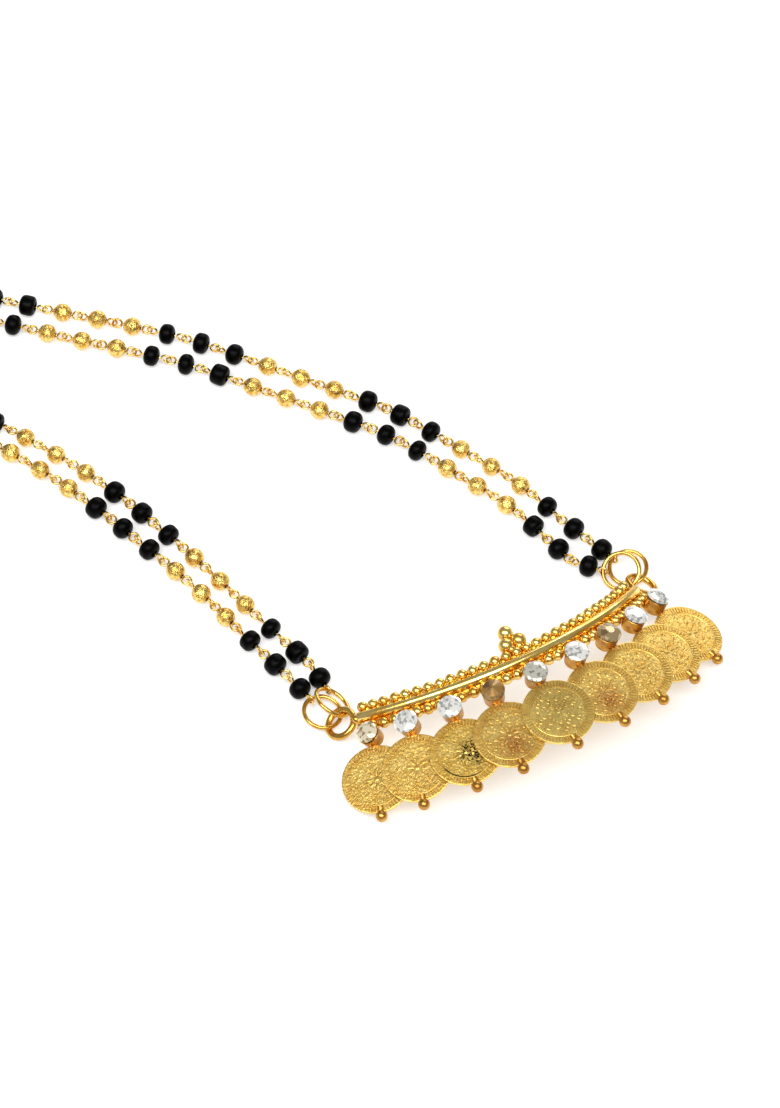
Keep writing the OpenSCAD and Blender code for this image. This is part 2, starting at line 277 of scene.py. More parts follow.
def thin_strokes(tree, millimetres):
    """Curly strokes about a tenth of a millimetre wide, where a slow noise crosses its middle value."""
    drift = add(tree, "ShaderNodeTexNoise", {
        "Vector": millimetres.outputs[0], "Scale": 1 / 0.7, "Detail": 2.0, "Roughness": 0.6,
    })
    off_middle = add(tree, "ShaderNodeMath", {0: drift.outputs[0], 1: 0.5}, operation="SUBTRACT")
    off_middle = add(tree, "ShaderNodeMath", {0: off_middle.outputs[0]}, operation="ABSOLUTE")
    return add(tree, "ShaderNodeMapRange", {
        "Value": off_middle.outputs[0], "From Min": 0.02, "From Max": 0.06, "To Min": 1.0, "To Max": 0.0,
    })


def blackened_step(tree, millimetres, amount, step_radius=4.12, towards=(-0.45, -0.89, 0)):
    """The stain's amount with a dark arc added, along the step round the field on one side."""
    from_middle = add(tree, "ShaderNodeVectorMath", {0: millimetres.outputs[0]}, operation="LENGTH")
    off_step = add(tree, "ShaderNodeMath", {
        0: from_middle.outputs["Value"], 1: step_radius,
    }, operation="SUBTRACT")
    off_step = add(tree, "ShaderNodeMath", {0: off_step.outputs[0]}, operation="ABSOLUTE")
    on_step = add(tree, "ShaderNodeMapRange", {
        "Value": off_step.outputs[0], "From Min": 0.05, "From Max": 0.2, "To Min": 1.0, "To Max": 0.0,
    })
    side = add(tree, "ShaderNodeVectorMath", {
        0: millimetres.outputs[0], 1: towards,
    }, operation="DOT_PRODUCT")
    on_side = add(tree, "ShaderNodeMapRange", {
        "Value": side.outputs["Value"], "From Min": 2.6, "From Max": 3.4,
    })
    arc = add(tree, "ShaderNodeMath", {
        0: on_step.outputs[0], 1: on_side.outputs[0],
    }, operation="MULTIPLY")
    return add(tree, "ShaderNodeMath", {0: amount.outputs[0], 1: arc.outputs[0]}, operation="MAXIMUM")


def struck(name, light, warm, stain, stain_at, stain_mm, stain_strength, in_lines=False):
    """Matt struck gold with one stain, placed in millimetres from the coin's middle."""
    material, tree, shader = new_finish(name)
    flat = add(tree, "ShaderNodeUVMap", uv_map="coin_face")
    millimetres = add(tree, "ShaderNodeMapping", {
        "Vector": flat.outputs[0], "Location": (-COIN_MAP_MM / 2, -COIN_MAP_MM / 2, 0),
        "Scale": (COIN_MAP_MM,) * 3,
    })
    wear = add(tree, "ShaderNodeTexNoise", {
        "Vector": millimetres.outputs[0], "Scale": 1 / 0.3, "Detail": 4.0, "Roughness": 0.7,
    })
    worms = add(tree, "ShaderNodeTexVoronoi", {
        "Vector": millimetres.outputs[0], "Scale": 1 / 0.45, "Randomness": 1.0,
    }, feature="SMOOTH_F1")
    height = add(tree, "ShaderNodeMath", {
        0: wear.outputs[0], 1: worms.outputs["Distance"],
    }, operation="ADD")
    bump = add(tree, "ShaderNodeBump", {
        "Height": height.outputs[0], "Strength": 1.0, "Distance": 0.00005,
    })
    patches = add(tree, "ShaderNodeTexNoise", {
        "Vector": millimetres.outputs[0], "Scale": 1 / 2.2, "Detail": 4.0, "Roughness": 0.6,
    })
    tone = add(tree, "ShaderNodeValToRGB", {"Fac": patches.outputs[0]})
    tone.color_ramp.elements[0].position = 0.36
    tone.color_ramp.elements[0].color = linear(warm)
    tone.color_ramp.elements[1].position = 0.6
    tone.color_ramp.elements[1].color = linear(light)
    from_stain = add(tree, "ShaderNodeVectorMath", {
        0: millimetres.outputs[0], 1: (stain_at[0], stain_at[1], 0),
    }, operation="DISTANCE")
    patch = add(tree, "ShaderNodeMapRange", {
        "Value": from_stain.outputs["Value"], "From Min": 0.0, "From Max": stain_mm,
        "To Min": 1.0, "To Max": 0.0,
    })
    if in_lines:
        broken = thin_strokes(tree, millimetres)
    else:
        broken = add(tree, "ShaderNodeMapRange", {
            "Value": wear.outputs[0], "From Min": 0.62, "From Max": 0.4, "To Min": 0.2, "To Max": 1.0,
        })
    stained = add(tree, "ShaderNodeMath", {
        0: patch.outputs[0], 1: broken.outputs[0],
    }, operation="MULTIPLY")
    amount = add(tree, "ShaderNodeMath", {
        0: stained.outputs[0], 1: stain_strength,
    }, operation="MULTIPLY", use_clamp=True)
    if in_lines:
        amount = blackened_step(tree, millimetres, amount)
    colour = add(tree, "ShaderNodeMix", {
        "Factor": amount.outputs[0], 6: tone.outputs[0], 7: linear(stain),
    }, data_type="RGBA")
    tree.links.new(colour.outputs[2], shader.inputs["Base Color"])
    tree.links.new(bump.outputs[0], shader.inputs["Normal"])
    shader.inputs["Metallic"].default_value = 1.0
    shader.inputs["Roughness"].default_value = 0.36
    return material


coin_finish = {
    "clean": struck("struck_gold_sheet", "#ebcb76", "#dcb256", "#b98030", (1, -1), 4.0, 0.5),
    "dull": struck("struck_gold_sheet_dulled", "#f0d57e", "#dfb962", "#8f7434", (1.0, 1.0), 6.0, 0.8),
    "black": struck(
        "struck_gold_sheet_blackened", "#ebca72", "#dab152", "#120a03", (1.0, -0.4), 2.9, 2.2,
        in_lines=True,
    ),
    "brown": struck("struck_gold_sheet_browned", "#edcc76", "#dcb25a", "#a85e2a", (0.2, -1.8), 3.4, 1.2),
}
print("coin finishes:", sorted(coin_finish))

# %% [markdown]
# ## Stones
#
# The stones are cut glass paste with a metal foil behind, so they look bright from above though little
# light passes through. Clear glass alone would look dark in a closed cup, so each stone is an opaque
# bright body under a clear coat, and its facets take their own share of the room. What the lower facets
# throw back through the top is a scatter of small bright and dark glints, which is painted into the
# colour as a painted reflection: a Voronoi pattern with one random tone for each cell. It lies on the
# stone's own flat map, whose middle is the stone's middle and which is 4 mm wide. The tints follow the
# stones: most are water-white, the first is a little yellow, and others have gone grey or brown as
# their foil tarnished.


# %% Make the stone finishes
STONE_MAP_MM = 4


def foiled_stone(name, tint, depth, seed=0, glint_mm=0.4, metal=0.3, roughness=0.12):
    """Foil-backed paste: a bright body with a painted reflection of small darker glints."""
    material, tree, shader = new_finish(name)
    flat = add(tree, "ShaderNodeUVMap", uv_map="stone_face")
    millimetres = add(tree, "ShaderNodeMapping", {
        "Vector": flat.outputs[0], "Location": (-STONE_MAP_MM / 2, -STONE_MAP_MM / 2, seed),
        "Scale": (STONE_MAP_MM,) * 3,
    })
    # Painted reflection: each cell takes a random tone between the dark glint and the tint.
    glints = add(tree, "ShaderNodeTexVoronoi", {
        "Vector": millimetres.outputs[0], "Scale": 1 / glint_mm, "Randomness": 0.85,
    })
    tone = add(tree, "ShaderNodeValToRGB", {"Fac": glints.outputs["Color"]})
    tone.color_ramp.elements[0].position = 0.18
    tone.color_ramp.elements[0].color = linear(depth)
    tone.color_ramp.elements[1].position = 0.42
    tone.color_ramp.elements[1].color = linear(tint)
    tree.links.new(tone.outputs[0], shader.inputs["Base Color"])
    shader.inputs["Metallic"].default_value = metal
    shader.inputs["Roughness"].default_value = roughness
    shader.inputs["IOR"].default_value = 1.55
    shader.inputs["Coat Weight"].default_value = 1.0
    shader.inputs["Coat Roughness"].default_value = 0.02
    return material


white_stone = foiled_stone("water_white_foiled_glass", "#f0efea", "#a6a6a4")
yellow_stone = foiled_stone("yellowed_foiled_glass", "#ebdfc0", "#8c6c36", 3, 0.45)
grey_stone = foiled_stone("greyed_foiled_glass", "#c6c5b8", "#87867c", 7)
brown_stone = foiled_stone("browned_foiled_glass", "#9c7636", "#6e4c22", 2, 1.2, 0.5, 0.3)
smoky_stone = foiled_stone("smoky_foiled_glass", "#b59c70", "#83683e", 5, 0.9, 0.6, 0.2)
print("stone finishes:", [m.name for m in bpy.data.materials if m.name.endswith("foiled_glass")])

# %% [markdown]
# ## Helpers for shapes
#
# Most of the pieces are turned or bent from simple sections, as a jeweller draws wire and turns collets.
# A turned part starts as a few points of its section, which the spin operator carries round an axis. A
# part is built once at the origin and then stamped wherever it is needed, so the beads share one recipe.


# %% Places, turned parts, stamps and finished pieces
def turn(degrees, axis):
    """A turn about one axis."""
    return Matrix.Rotation(math.radians(degrees), 4, axis)


def shift(x=0, y=0, z=0):
    """A move in millimetres."""
    return Matrix.Translation((x, y, z))


def scaled(x, y, z):
    """A scale along each axis, which makes an egg or a lens of a ball."""
    return Matrix.Diagonal((x, y, z, 1))


def in_a_row(part, points):
    """New edges through the points, one after another, and their vertices."""
    corners = [part.verts.new(point) for point in points]
    return corners, [part.edges.new(pair) for pair in zip(corners, corners[1:])]


def turned(section, steps, closed=False):
    """A section of radius and height pairs, spun once round the Z axis."""
    part = bmesh.new()
    corners, sides = in_a_row(part, [(radius, 0, height) for radius, height in section])
    if closed:
        sides.append(part.edges.new((corners[-1], corners[0])))
    bmesh.ops.spin(
        part, geom=corners + sides, cent=(0, 0, 0), axis=(0, 0, 1), angle=2 * math.pi,
        steps=steps, use_merge=True, use_duplicate=False,
    )
    bmesh.ops.remove_doubles(part, verts=part.verts, dist=1e-5)
    bmesh.ops.recalc_face_normals(part, faces=part.faces)
    return part


def wire_ring(radius, thickness, steps=48, sides=12):
    """A ring of round wire that lies flat about the origin."""
    half = thickness / 2
    section = [
        (radius + half * math.cos(2 * math.pi * k / sides), half * math.sin(2 * math.pi * k / sides))
        for k in range(sides)
    ]
    return turned(section, steps, closed=True)


def ball(radius, across=16, down=10):
    """A ball with its poles on the Z axis."""
    part = bmesh.new()
    bmesh.ops.create_uvsphere(part, u_segments=across, v_segments=down, radius=radius)
    return part


def stamp(target, part, place):
    """Adds a copy of a part to the target, at a place."""
    carrier = bpy.data.meshes.new("carrier")
    part.to_mesh(carrier)
    carrier.transform(place)
    target.from_mesh(carrier)
    bpy.data.meshes.remove(carrier)


def finish_piece(name, shape, material, sharp=35):
    """Turns a shape in millimetres into a piece in metres that rides on the necklace."""
    shape.transform(Matrix.Scale(0.001, 4))
    mesh = bpy.data.meshes.new(name)
    shape.to_mesh(mesh)
    shape.free()
    mesh.materials.append(material)
    mesh.shade_smooth()
    mesh.set_sharp_from_angle(angle=math.radians(sharp))
    piece = bpy.data.objects.new(name, mesh)
    bpy.context.scene.collection.objects.link(piece)
    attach(piece, "root")
    mesh.calc_loop_triangles()
    print(name, len(mesh.loop_triangles), "triangles")
    return piece


# %% [markdown]
# ## Where things sit on the bar
#
# The bar is an arc of a circle of 34.8 mm that leans back by 45 degrees, so it rises in the middle like
# the rim of a tilted plate. Everything soldered to it is placed by an angle along that arc. The place is
# one matrix: out to the circle's middle, the lean, the angle, and back to the bar. A helper for the
# bar's long sections spins them about the same leaning axis. The routes of the strands below are drawn
# on a sheet of their own, and MIDDLE is the point of that sheet that lies at the frame's origin.

# %% The bar's own frame
MIDDLE = Vector((-30.6, 68.1, 0))
BAR_RADIUS = 34.8
BAR_LEAN = 45
BAR_HALF_ANGLE = 43.5
BAR_HEIGHT = 9.95
lean = math.radians(BAR_LEAN)
bar_axis = Vector((0, math.sin(lean), math.cos(lean)))
circle_middle = Vector((
    0, BAR_RADIUS * math.cos(lean), BAR_HEIGHT - BAR_RADIUS * math.sin(lean),
)) - MIDDLE


def along_bar(angle):
    """The place at an angle along the bar: X along it, -Y towards the coins, Z up."""
    return (
        Matrix.Translation(circle_middle) @ turn(-BAR_LEAN, "X") @ turn(angle, "Z")
        @ shift(y=-BAR_RADIUS) @ turn(BAR_LEAN, "X")
    )


def swept_along_bar(section, half_angle, steps=64):
    """A closed section of (out, up) pairs, carried along the bar and closed at both ends."""
    part = bmesh.new()
    start = along_bar(-half_angle)
    corners, sides = in_a_row(part, [start @ Vector((0, -out, up)) for out, up in section])
    sides.append(part.edges.new((corners[-1], corners[0])))
    bmesh.ops.spin(
        part, geom=corners + sides, cent=circle_middle, axis=bar_axis,
        angle=math.radians(2 * half_angle), steps=steps, use_merge=False, use_duplicate=False,
    )
    bmesh.ops.holes_fill(part, edges=[e for e in part.edges if e.is_boundary], sides=0)
    bmesh.ops.recalc_face_normals(part, faces=part.faces)
    return part


print("the bar's ends are at", [
    [round(v, 1) for v in along_bar(side * BAR_HALF_ANGLE).translation] for side in (-1, 1)
])

# %% [markdown]
# ## The bar
#
# The bar is a flat strip with a half-round ridge soldered down its middle. The ridge has been buffed, so
# it carries one long highlight. A curve with a bevel could make it, but then the flat strip would need a
# second curve with the same bend. Spinning both sections about one axis keeps them together.

# %% Make the ridge and the strip
RIDGE_HALF_WIDTH = 0.92
RIDGE_FOOT = 0.3
RIDGE_TOP = 1.5
ridge = []
for k in range(20):
    around = math.radians(18 * k)
    ridge.append((
        RIDGE_HALF_WIDTH * math.cos(around), RIDGE_FOOT + (RIDGE_TOP - RIDGE_FOOT) * math.sin(around),
    ))
strip = [
    (-2.1, -0.22), (-2.0, -0.3), (2.0, -0.3), (2.1, -0.22),
    (2.1, 0.2), (2.0, 0.28), (-2.0, 0.28), (-2.1, 0.2),
]
bar = bmesh.new()
stamp(bar, swept_along_bar(ridge, BAR_HALF_ANGLE), Matrix())
stamp(bar, swept_along_bar(strip, BAR_HALF_ANGLE + 0.4), Matrix())
bar_piece = finish_piece("bar", bar, buffed_gold)
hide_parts("pendant")

# %% [markdown]
# ## Granules
#
# A row of little balls is soldered on each side of the ridge. They were melted from snippets of wire, so
# no two are quite alike: each gets a slightly different size and place, from a seeded random generator
# that gives the same necklace each time. Three larger balls stand on the neck side as a trefoil, with
# two small ones at their foot. The gaps between balls mirror one another, which is where the deep orange
# in a granulated bar comes from.

# %% Make the granules and the trefoil
GRANULE_RADIUS = 0.9
GRANULE_OUT = 1.77
GRANULE_HEIGHT = 0.42
GRANULE_HALF_ANGLE = BAR_HALF_ANGLE - 0.8
TREFOIL_ANGLE = 0.5
TREFOIL_RADIUS = 1.22
FOOT_RADIUS = 0.7
chance = random.Random(7)
granules = bmesh.new()
for count, out in ((29, -GRANULE_OUT), (31, GRANULE_OUT)):
    step = 2 * GRANULE_HALF_ANGLE / (count - 1)
    for k in range(count):
        size = GRANULE_RADIUS * chance.uniform(0.95, 1.03)
        nudge = shift(
            chance.uniform(-0.08, 0.08),
            -out + chance.uniform(-0.05, 0.05),
            GRANULE_HEIGHT + chance.uniform(-0.06, 0.06),
        )
        place = along_bar(-GRANULE_HALF_ANGLE + k * step) @ nudge
        stamp(granules, ball(size), place @ turn(chance.uniform(0, 90), "X"))
for x, y in ((-1.08, 3.5), (1.08, 3.45), (-0.05, 5.5)):
    stamp(granules, ball(TREFOIL_RADIUS, 24, 14), along_bar(TREFOIL_ANGLE) @ shift(x, y, 0.55))
for x in (-0.7, 0.75):
    stamp(granules, ball(FOOT_RADIUS), along_bar(TREFOIL_ANGLE) @ shift(x, 2.6, 0.5))
finish_piece("granules", granules, granule_gold)

# %% [markdown]
# ## Rings at the ends
#
# A thick ring of wire is soldered to each end of the bar, with a bead of solder where it meets the
# ridge. Two thinner rings hang in it, one for each strand. The solids' wire is thinner than the real
# one, so that linked rings stay apart. Each ring here keeps the outside of its solid, and its wire has
# the real thickness, inwards from there.


# %% Make the rings
def full_ring(outside, wire):
    """A flat ring from the radius of its outside and the thickness of its wire."""
    return wire_ring(outside - wire / 2, wire, 56, 14)


END_RING_OUTSIDE = 2.77
END_RING_WIRE = 1.08
END_RING_OUT = 3.45
SOLDER_RADIUS = 0.8
SOLDER_OUT = 0.75
RING_HEIGHT = 0.15
end_rings = bmesh.new()
for side in (-1, 1):
    place = along_bar(side * BAR_HALF_ANGLE)
    ring = full_ring(END_RING_OUTSIDE, END_RING_WIRE)
    stamp(end_rings, ring, place @ shift(side * END_RING_OUT, 0, RING_HEIGHT))
    stamp(end_rings, ball(SOLDER_RADIUS), place @ shift(side * SOLDER_OUT, 0, RING_HEIGHT))
finish_piece("end_rings", end_rings, ring_gold)

# For each thin ring: its middle on the sheet of the routes, and its heading and slope in degrees.
THIN_RING_OUTSIDE = 3.22
THIN_RING_WIRE = 0.7
THIN_RINGS = {
    "left_inner": ((-26.03, 12.09, 2.28), 1, 38),
    "left_outer": ((-28.0, 11.65, 1.58), -27, 10),
    "right_outer": ((26.4, 12.35, 1.66), -144, 12),
    "right_inner": ((24.86, 11.93, 2.34), -151, 27.5),
}
for strand, (middle, heading, slope) in THIN_RINGS.items():
    thin = bmesh.new()
    place = Matrix.Translation(-MIDDLE) @ shift(*middle) @ turn(heading, "Z") @ turn(slope, "Y")
    stamp(thin, full_ring(THIN_RING_OUTSIDE, THIN_RING_WIRE), place)
    piece = finish_piece(f"{strand}_thin_ring", thin, ring_gold)
    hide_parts(f"{strand}_ring")

# %% [markdown]
# ## Collets and solder
#
# Each stone sits in a collet, a short cup turned from tube with a thin lip that grips the stone. The cup
# is a turned section: the outer wall, the lip, the inner wall and the floor. The collets take a darker
# copy of the plating, which is painted shade. Below it a knob of solder runs down to the coin, in an
# orange gold that is a painted reflection of the gold around it. Coins and collets hang by pairs: an
# angle along the bar gives the collet's place, and the coin's follows from it.

# %% Places of the nine coins
# For each coin: its angle along the bar, its swing to the side in degrees, and its height.
COINS = [
    (-39.9, 3, 0.55), (-30.6, 0, 0.55), (-20.4, 0.5, 0.6), (-10.4, -3, 0.75), (0, -1, 1.15),
    (10.9, -2.5, 0.75), (20.6, -2, 0.6), (30.4, -3, 0.55), (41.2, -9, 0.55),
]
STONE_OUT = 4
COIN_REACH = 7
COIN_DROOP = 4.7
COIN_FAN = 3


def stone_place(number):
    """Where a collet stands: its axis along Z, its foot at the height of the bar."""
    return along_bar(COINS[number][0]) @ shift(y=-STONE_OUT)


def coin_place(number):
    """Where a coin hangs: flat about its middle, its face up, -Y towards its drop."""
    angle, swing, height = COINS[number]
    return (
        stone_place(number) @ turn(swing, "Z") @ shift(0, -COIN_REACH, height)
        @ turn(COIN_DROOP, "X") @ turn(-COIN_FAN * (number - 4), "Y")
    )


print("coin middles:", [[round(v) for v in coin_place(i).translation] for i in range(len(COINS))])

# %% Make the collets and the solder
collet_section = [
    (0.0, 0.1), (1.5, 0.1), (1.6, 0.16), (1.66, 1.2), (1.7, 2.12), (1.76, 2.2), (1.76, 2.3), (1.7, 2.36),
    (1.6, 2.36), (1.5, 2.3), (1.46, 2.1), (1.45, 0.6), (0.0, 0.6),
]
cup = turned(collet_section, 32)
collets = bmesh.new()
necks = bmesh.new()
for i, (angle, swing, height) in enumerate(COINS):
    stamp(collets, cup, stone_place(i))
    foot = stone_place(i) @ turn(swing, "Z")
    for out, size in ((-1.62, 0.62), (-1.95, 0.45)):
        stamp(necks, ball(size, 14, 9), foot @ shift(chance.uniform(-0.1, 0.1), out, height - 0.12))
# The collets' darker gold is painted shade, and the solder's orange is a painted reflection.
finish_piece("collets", collets, painted_shade_gold)
finish_piece("solder_necks", necks, painted_reflection_solder_gold)

# %% [markdown]
# ## Cut stones
#
# A cut stone is the convex shape that its facets' corners span: a table, a crown of facets, a thin
# girdle and a shallow pavilion. The convex hull operator builds it from rings of points, so each facet
# is truly flat. Flat shading keeps the edges crisp. The fourth stone stands up to a point, so its table
# is small and its crown is high.


# %% Make the nine stones
def cut_stone(radius, table, crown):
    """A round cut stone about its girdle, with the table's share of its radius and the crown's height."""
    part = bmesh.new()
    rings = (
        (24, radius, -0.09, 0), (24, radius, 0.05, 0), (12, 0.84 * radius, 0.6 * crown, 0),
        (12, table * radius, crown, 15), (12, 0.55 * radius, -0.75, 0),
    )
    for count, size, height, angle in rings:
        bmesh.ops.create_circle(
            part, segments=count, radius=size, matrix=shift(z=height) @ turn(angle, "Z"))
    bmesh.ops.create_vert(part, co=(0, 0, -1.3))
    bmesh.ops.convex_hull(part, input=part.verts)
    loose = [v for v in part.verts if not v.link_faces]
    bmesh.ops.delete(part, geom=loose, context="VERTS")
    bmesh.ops.dissolve_limit(part, angle_limit=math.radians(1), verts=part.verts, edges=part.edges)
    return part


def map_flat(shape, layer, width):
    """Writes a flat map of the shape as seen from above, with its middle at 0.5, 0.5."""
    flat_map = shape.loops.layers.uv.new(layer)
    for face in shape.faces:
        for corner in face.loops:
            corner[flat_map].uv = (corner.vert.co.x / width + 0.5, corner.vert.co.y / width + 0.5)


# For each stone: its finish, its radius, its table's share of that, and its crown's height.
GIRDLE_HEIGHT = 2.78
white = (white_stone, 1.88, 0.5, 0.42)
STONES = [
    (yellow_stone, 1.72, 0.5, 0.45), white, white,
    (brown_stone, 1.84, 0.1, 0.95), (grey_stone, 1.88, 0.5, 0.45), white,
    (smoky_stone, 1.88, 0.35, 0.75), white, white,
]
for i, (finish, radius, table, crown) in enumerate(STONES):
    stone = bmesh.new()
    stamp(stone, cut_stone(radius, table, crown), Matrix())
    map_flat(stone, "stone_face", STONE_MAP_MM)
    stone.transform(stone_place(i) @ shift(z=GIRDLE_HEIGHT) @ turn(17 * i, "Z"))
    piece = finish_piece(f"cut_stone_{i + 1}", stone, finish, sharp=1)
    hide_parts(f"stone_{i + 1}")

# %% [markdown]
# ## Coins
#
# A coin starts as a flat disc of 128 sides. Insets cut its face into rings: a thin rim, a band for the
# milled ticks and the field. Every second quad of the band is then raised with a small inset of its own,
# which gives 64 ticks without placing one by hand. The old relief has worn too low to read, so the field
# gets a plain rosette: petals, a ring of dots and little scrolls, each about a tenth of a millimetre
# high.


# %% One coin's shape
def coin_blank(radius=5.5, thickness=0.42, edge_bulge=0.06):
    """A coin with its face at the origin: a rounded edge, a rim, ticks, a step and a sunken field."""
    part = bmesh.new()
    inner = radius - edge_bulge
    bmesh.ops.create_circle(part, cap_ends=True, segments=128, radius=inner, matrix=shift(z=-thickness))
    raised = bmesh.ops.extrude_face_region(part, geom=part.faces[:])["geom"]
    top = [v for v in raised if isinstance(v, bmesh.types.BMVert)]
    bmesh.ops.translate(part, vec=(0, 0, thickness), verts=top)
    upright = [e for e in part.edges if abs(e.verts[0].co.z - e.verts[1].co.z) > 0.1]
    bmesh.ops.subdivide_edges(part, edges=upright, cuts=1)
    waist = [v for v in part.verts if -0.3 < v.co.z < -0.1]
    bmesh.ops.scale(part, vec=(radius / inner, radius / inner, 1), verts=waist)
    face = max((f for f in part.faces if len(f.verts) > 4), key=lambda f: f.calc_center_median().z)
    for width, height in ((0.06, 0.02), (0.12, 0), (0.02, -0.03)):
        bmesh.ops.inset_region(part, faces=[face], thickness=width, depth=height)
    band = bmesh.ops.inset_region(part, faces=[face], thickness=0.95, depth=0)["faces"]
    band.sort(key=lambda f: math.atan2(f.calc_center_median().y, f.calc_center_median().x))
    bmesh.ops.inset_individual(part, faces=band[::2], thickness=0.115, depth=0.12)
    for width, height in ((0.06, 0.03), (0.1, 0), (0.06, -0.05)):
        bmesh.ops.inset_region(part, faces=[face], thickness=width, depth=height)
    return part


def scroll(sweep):
    """A bit of thin wire bent round by the given angle."""
    part = bmesh.new()
    bmesh.ops.create_circle(part, segments=6, radius=0.085, matrix=shift(x=0.3) @ turn(90, "X"))
    bmesh.ops.spin(
        part, geom=part.edges[:] + part.verts[:], cent=(0, 0, 0), axis=(0, 0, 1),
        angle=math.radians(sweep), steps=9, use_merge=False, use_duplicate=False,
    )
    bmesh.ops.holes_fill(part, edges=[e for e in part.edges if e.is_boundary], sides=0)
    bmesh.ops.recalc_face_normals(part, faces=part.faces)
    return part


def rosette():
    """Eight petals with dots between them, a ring of dots and two rings of scrolls."""
    part = bmesh.new()
    for k in range(8):
        stamp(part, ball(1, 12, 6), turn(45 * k, "Z") @ shift(y=1.15) @ scaled(0.26, 0.6, 0.08))
        stamp(part, ball(1, 8, 5), turn(45 * k + 22.5, "Z") @ shift(y=1.55) @ scaled(0.18, 0.2, 0.08))
    stamp(part, ball(1, 14, 6), scaled(0.42, 0.42, 0.12))
    for k in range(36):
        stamp(part, ball(1, 8, 5), turn(10 * k, "Z") @ shift(y=3.78) @ scaled(0.16, 0.16, 0.08))
    for count, out in ((14, 3.2), (10, 2.25)):
        for k in range(count):
            place = turn(360 / count * k, "Z") @ shift(y=out) @ turn(77 * k + 20, "Z")
            stamp(part, scroll(200 + 20 * (k % 3)), place)
    return part


blank = coin_blank()
relief = rosette()
print("coin blank", len(blank.faces), "faces, relief", len(relief.faces))

# %% [markdown]
# ## The coins in place
#
# Each coin is stamped at the origin first, where its flat coordinates are written into its UV map, and
# only then moved to where it hangs. Neighbours overlap like scales, with the middle coin on top. Each
# rosette is turned further than the last, so that no two coins side by side look alike.

# %% Make the nine coins
COIN_WEAR = ["clean", "clean", "black", "brown", "dull", "brown", "clean", "clean", "clean"]
for i, wear in enumerate(COIN_WEAR):
    coin = bmesh.new()
    stamp(coin, blank, Matrix())
    stamp(coin, relief, shift(z=-0.02) @ turn(31 * i, "Z"))
    map_flat(coin, "coin_face", COIN_MAP_MM)
    coin.transform(coin_place(i))
    finish_piece(f"coin_{i + 1}", coin, coin_finish[wear], sharp=20)

# %% [markdown]
# ## Drops
#
# A small ball on a short neck hangs from each coin's outer edge. The neck and ball were melted together,
# so one turned section describes both, and it is laid along the coin.

# %% Make the drops
DROP_RADIUS = 0.9
drop_section = [(0.0, 0.5), (0.62, 0.5), (0.58, 0.1), (0.5, -0.2), (0.5, -0.32), (0.62, -0.46)]
for degrees in range(52, 181, 16):
    around = math.radians(degrees)
    drop_section.append((max(DROP_RADIUS * math.sin(around), 0.0), -1.0 + DROP_RADIUS * math.cos(around)))
drop_shape = turned(drop_section, 20)
lay_down = shift(0, -5.0, -0.2) @ turn(-90, "X")
drops = bmesh.new()
for i in range(len(COINS)):
    stamp(drops, drop_shape, coin_place(i) @ lay_down)
# The drops take the darker gold, which is painted shade.
finish_piece("drops", drops, painted_shade_gold)

# %% [markdown]
# ## Strands
#
# The beads of a strand sit on short eye pins, one after another along a smooth route over the table. The
# route is a Catmull-Rom curve through a few points, cut into equal steps, and each step carries one pin.
# Black and gold beads take turns in threes.


# %% The strands' routes
def curve_point(a, b, c, d, t):
    """The point a share t of the way from b to c, on the smooth curve through a, b, c and d."""
    return 0.5 * (
        2 * b + (c - a) * t + (2 * a - 5 * b + 4 * c - d) * t * t + (3 * b - a - 3 * c + d) * t ** 3
    )


def pin_ends(points, beads, finer=24):
    """The points where one eye pin meets the next, at equal steps along the route."""
    knots = [Vector(p) for p in points]
    knots = [2 * knots[0] - knots[1]] + knots + [2 * knots[-1] - knots[-2]]
    fine = [
        curve_point(*knots[k:k + 4], s / finer) for k in range(len(knots) - 3) for s in range(finer)
    ] + [knots[-2]]
    marks = [0.0]
    for here, after in zip(fine, fine[1:]):
        marks.append(marks[-1] + (after - here).length)
    ends = []
    k = 0
    for n in range(beads + 1):
        length = min(n * marks[-1] / beads, marks[-1] - 0.0001)
        while marks[k + 1] < length:
            k += 1
        share = (length - marks[k]) / (marks[k + 1] - marks[k])
        ends.append(fine[k].lerp(fine[k + 1], share))
    return ends


INNER_LEFT = [
    (-25.4, 14.4), (-24.9, 17.5), (-27.9, 30.0), (-30.4, 41.5), (-33.5, 53.6), (-37.2, 65.3),
    (-42.1, 76.4), (-48, 87), (-57, 98.5), (-67.5, 109), (-81.1, 122.1), (-84.8, 127.2),
    (-87.2, 133), (-87.5, 139.2), (-84.9, 144.8), (-79.6, 148.1), (-73.3, 149),
]
OUTER_LEFT = [
    (-28.5, 14.1), (-28.9, 17.2), (-31.6, 28.9), (-34.0, 40.6), (-37.4, 52.4), (-41.0, 63.6),
    (-45.6, 74.9), (-51.5, 85.5), (-60.5, 96.5), (-71, 106.5), (-81.5, 117), (-89.2, 127.5),
    (-92.4, 138.2), (-89.7, 147.7), (-81.7, 152.6), (-73.4, 152.1),
]
OUTER_RIGHT = [
    (25.4, 14.5), (24.8, 17.6), (22.6, 23.0), (19.8, 34.4), (14.6, 46.0), (9.2, 57.2), (2.3, 66.5),
    (-5.1, 76.4), (-12.4, 85.8), (-20.8, 94.2), (-29.7, 102.5), (-38.5, 111.2), (-46.5, 120.7),
    (-53.5, 130), (-59.6, 138.6), (-64.1, 142.9),
]
INNER_RIGHT = [
    (22.9, 13.3), (20.6, 15.2), (18.9, 19.3), (16.6, 30.4), (12.0, 41.2), (6.8, 52.3), (-0.1, 61.9),
    (-7.3, 71.4), (-14.5, 80.8), (-22.6, 89.0), (-31, 97.2), (-40, 106.5), (-49.2, 116),
    (-57.5, 126.5), (-64.1, 135.7), (-66.5, 141.2),
]
STRANDS = {
    "left_inner": pin_ends(INNER_LEFT, 27), "left_outer": pin_ends(OUTER_LEFT, 29),
    "right_outer": pin_ends(OUTER_RIGHT, 27), "right_inner": pin_ends(INNER_RIGHT, 27),
}
STRAND_HEIGHT = 1.78


